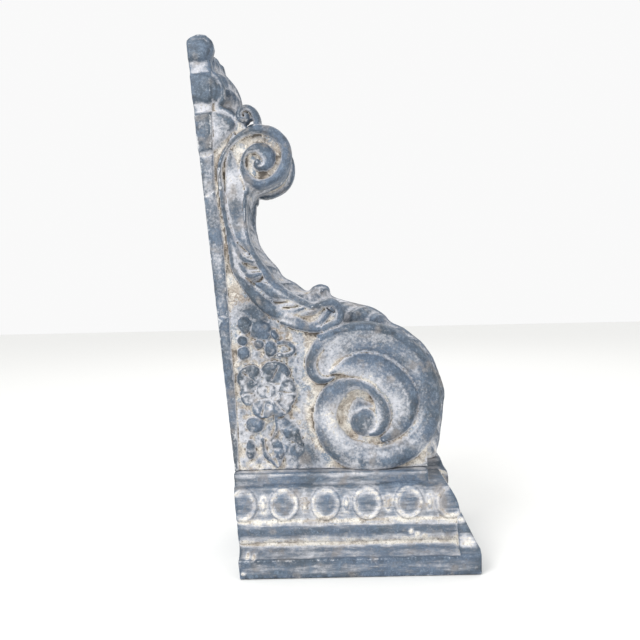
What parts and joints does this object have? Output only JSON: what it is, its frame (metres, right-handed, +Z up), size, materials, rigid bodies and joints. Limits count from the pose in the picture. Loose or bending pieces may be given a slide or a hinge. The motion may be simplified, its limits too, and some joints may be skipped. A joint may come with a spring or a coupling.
{
  "type": "scroll corbel",
  "caption": "Carved scroll bracket with a large side volute, a smaller scroll head, floral side panels and an egg-and-dart moulded cap, standing on its shelf face.",
  "frame": {"origin": "centre of the bounding box on the floor, under the flat shelf face", "axes": "+Z up as the corbel stands on its cap, +X from the flat back towards the carved front, +Y across the width"},
  "size_m": [0.3149, 0.234, 0.6029],
  "materials": {
    "scroll_body": "weathered blue-grey zinc sheet with remains of cream paint in the recesses",
    "moulded_cap": "weathered blue-grey zinc sheet with remains of cream paint in the recesses"
  },
  "bodies": {
    "root": {"scroll_body": "scroll_body", "moulded_cap": "moulded_cap"}
  },
  "joints": []
}
